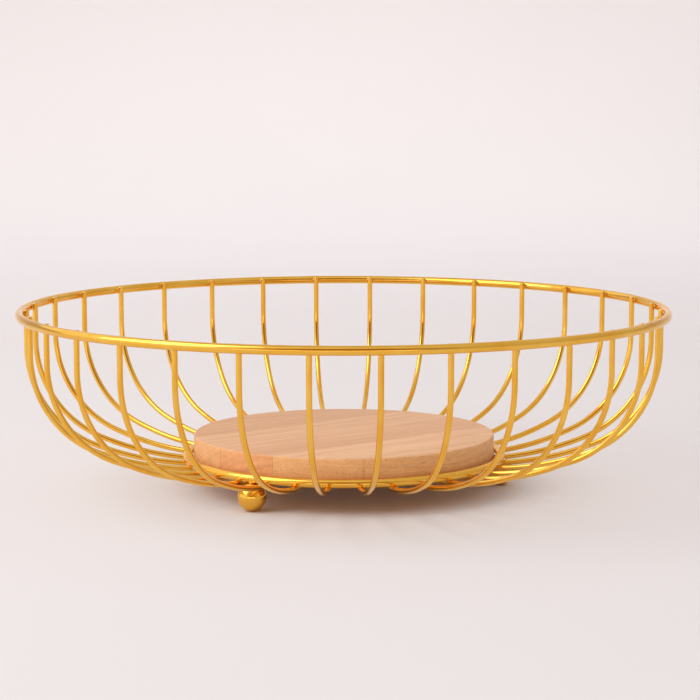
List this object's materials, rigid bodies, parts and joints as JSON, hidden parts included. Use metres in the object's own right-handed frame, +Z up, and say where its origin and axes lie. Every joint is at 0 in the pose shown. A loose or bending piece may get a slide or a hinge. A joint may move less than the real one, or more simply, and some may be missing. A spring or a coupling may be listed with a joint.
{
  "type": "wire produce basket",
  "caption": "Round open wire bowl with a thick rim ring, thin bent ribs, a base ring on ball feet and a loose round wooden board as its floor.",
  "frame": {"origin": "on the ground plane, on the basket's centre line", "axes": "+Z up along the basket's centre line; +X towards the middle of the rib gap above the first ball foot, and the basket is mirror symmetric about the XZ plane"},
  "size_m": [0.3, 0.3, 0.084],
  "materials": {
    "gold_wire": "polished",
    "board_wood": "satin"
  },
  "bodies": {
    "wire_basket": {"rim_ring": "gold_wire", "base_ring": "gold_wire", "rib_01": "gold_wire", "rib_02": "gold_wire", "rib_03": "gold_wire", "rib_04": "gold_wire", "rib_05": "gold_wire", "rib_06": "gold_wire", "rib_07": "gold_wire", "rib_08": "gold_wire", "rib_09": "gold_wire", "rib_10": "gold_wire", "rib_11": "gold_wire", "rib_12": "gold_wire", "rib_13": "gold_wire", "rib_14": "gold_wire", "rib_15": "gold_wire", "rib_16": "gold_wire", "rib_17": "gold_wire", "rib_18": "gold_wire", "rib_19": "gold_wire", "rib_20": "gold_wire", "rib_21": "gold_wire", "rib_22": "gold_wire", "rib_23": "gold_wire", "rib_24": "gold_wire", "rib_25": "gold_wire", "rib_26": "gold_wire", "rib_27": "gold_wire", "rib_28": "gold_wire", "rib_29": "gold_wire", "rib_30": "gold_wire", "rib_31": "gold_wire", "rib_32": "gold_wire", "foot_ball_1": "gold_wire", "foot_ball_2": "gold_wire", "foot_ball_3": "gold_wire"},
    "board": {"wooden_board": "board_wood"}
  },
  "joints": [
    {"name": "board_lift", "type": "slide", "parent": "wire_basket", "child": "board", "axis": [0, 0, 1], "range_m": [0, 0.08]}
  ]
}
